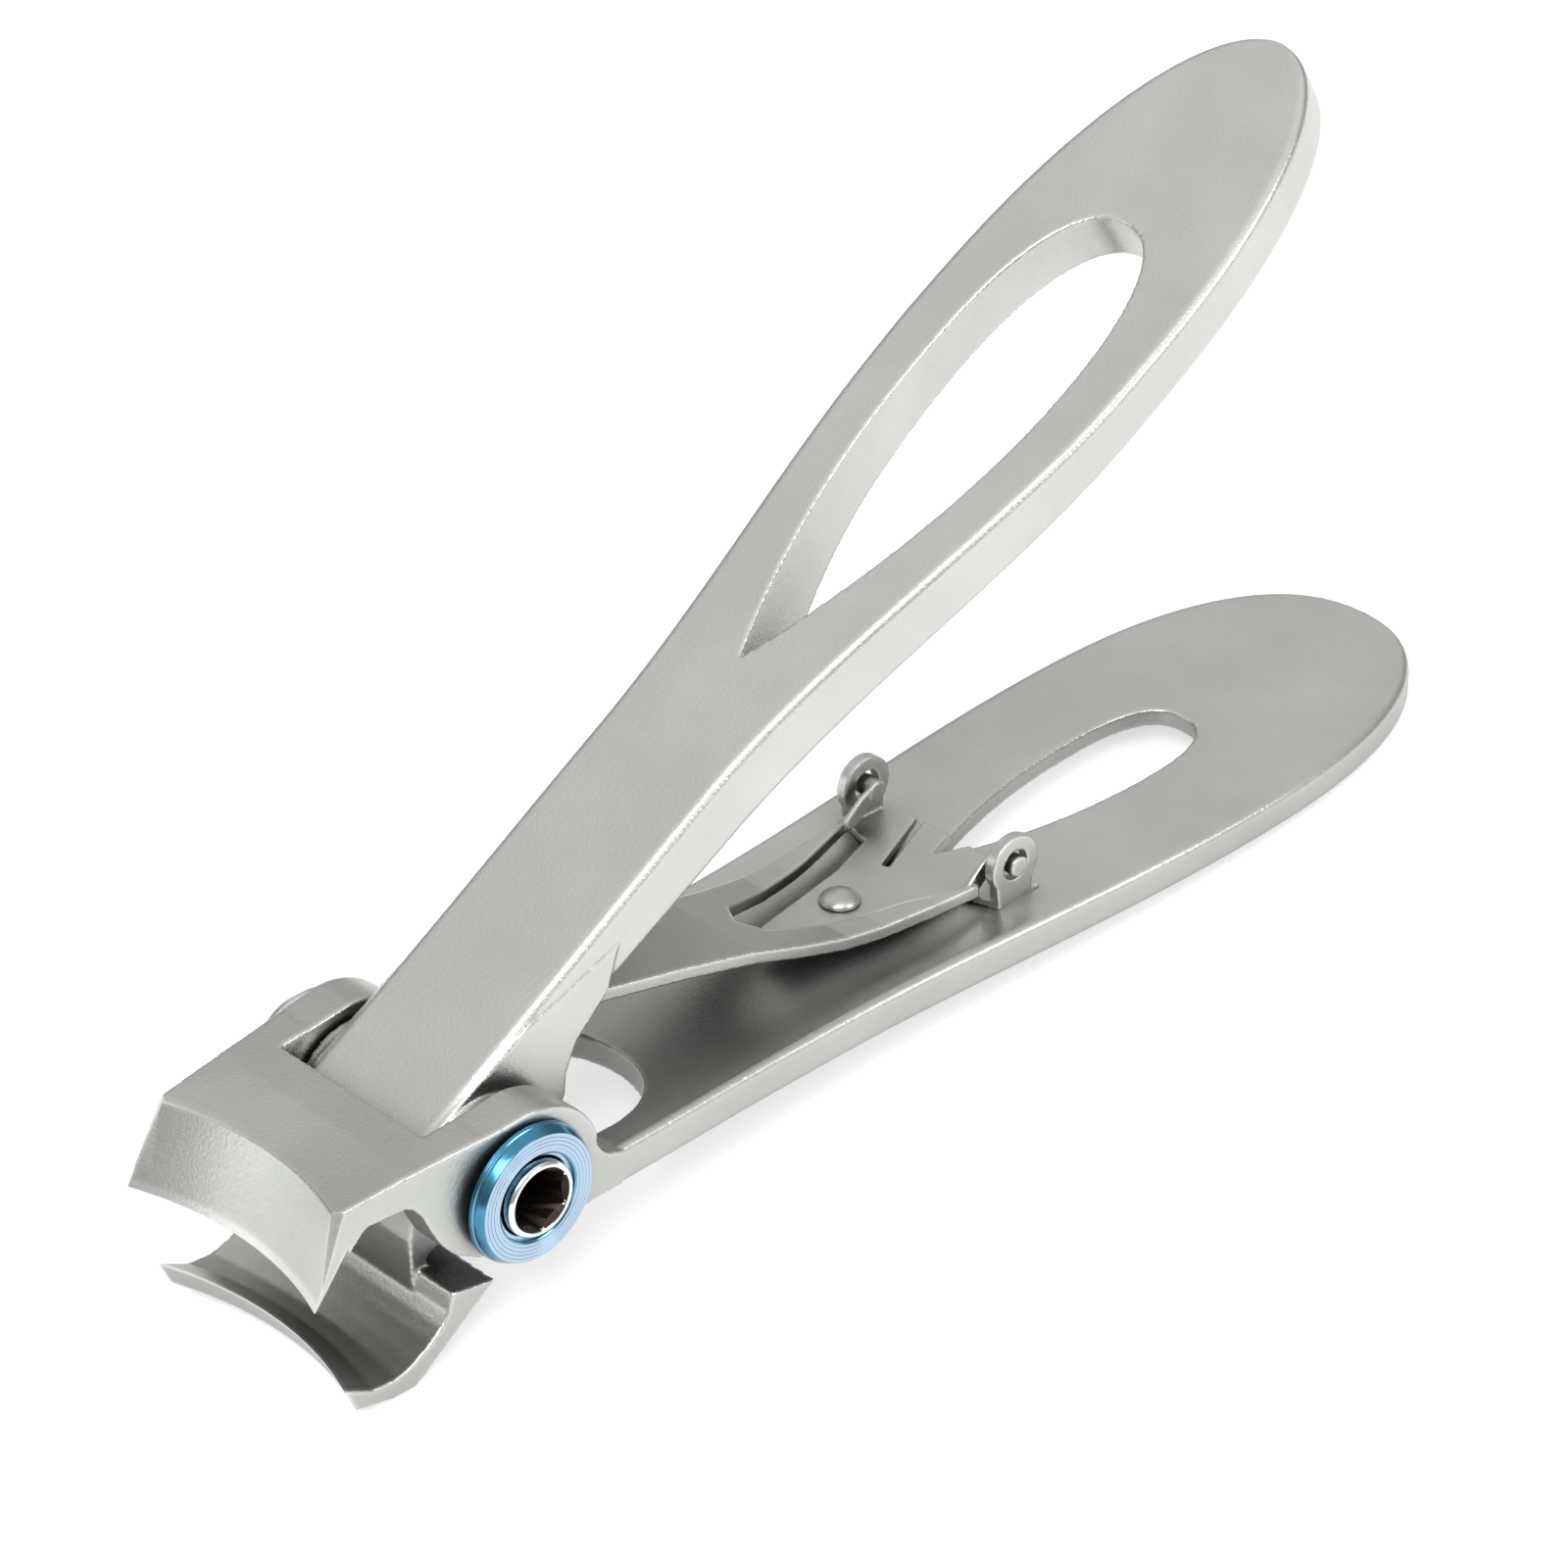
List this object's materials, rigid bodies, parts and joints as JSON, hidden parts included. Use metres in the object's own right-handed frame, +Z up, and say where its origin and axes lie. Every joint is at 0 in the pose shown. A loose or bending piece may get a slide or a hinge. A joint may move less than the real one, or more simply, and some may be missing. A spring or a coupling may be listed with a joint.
{
  "type": "nail clipper",
  "caption": "pliers-style nail clipper with two teardrop-pierced handles, a concave wide jaw on a collared cross axle and a forked leaf return spring",
  "frame": {"origin": "centre of the bounding box in X and Y, at the plane that the clipper stands on", "axes": "+X from the jaws to the handles, +Y along the pivot axle away from the blue collar, +Z up"},
  "size_m": [0.0924, 0.021, 0.0449],
  "materials": {
    "satin_steel": "bead-blasted satin nickel-grey steel",
    "pale_steel": "bead-blasted satin steel, slightly paler",
    "spring_steel": "satin spring steel with bright sheared edges",
    "polished_steel": "turned and polished steel",
    "blue_anodised": "turned, blue, glossy"
  },
  "bodies": {
    "frame": {"lower_handle": "satin_steel", "pivot_barrel_nut": "polished_steel", "pivot_screw": "polished_steel", "blue_collar": "blue_anodised", "steel_collar": "polished_steel", "spring_bracket": "satin_steel", "bracket_rivet": "polished_steel"},
    "lever": {"upper_lever": "pale_steel"},
    "spring": {"return_spring": "spring_steel"}
  },
  "joints": [
    {"name": "lever_pivot", "type": "hinge", "parent": "frame", "child": "lever", "pos_m": [-0.03145, 0, 0.00895], "axis": [0, 1, 0], "range_deg": [0, 23.5], "stiffness_Nm_per_rad": 0.5, "springref_deg": -11.46},
    {"name": "spring_pivot", "type": "hinge", "parent": "frame", "child": "spring", "pos_m": [0.00866, 0, 0.00665], "axis": [0, 1, 0], "range_deg": [-6.7, 0]}
  ],
  "couplings": [
    {"joint": "spring_pivot", "follows": "lever_pivot", "ratio": -0.278}
  ]
}
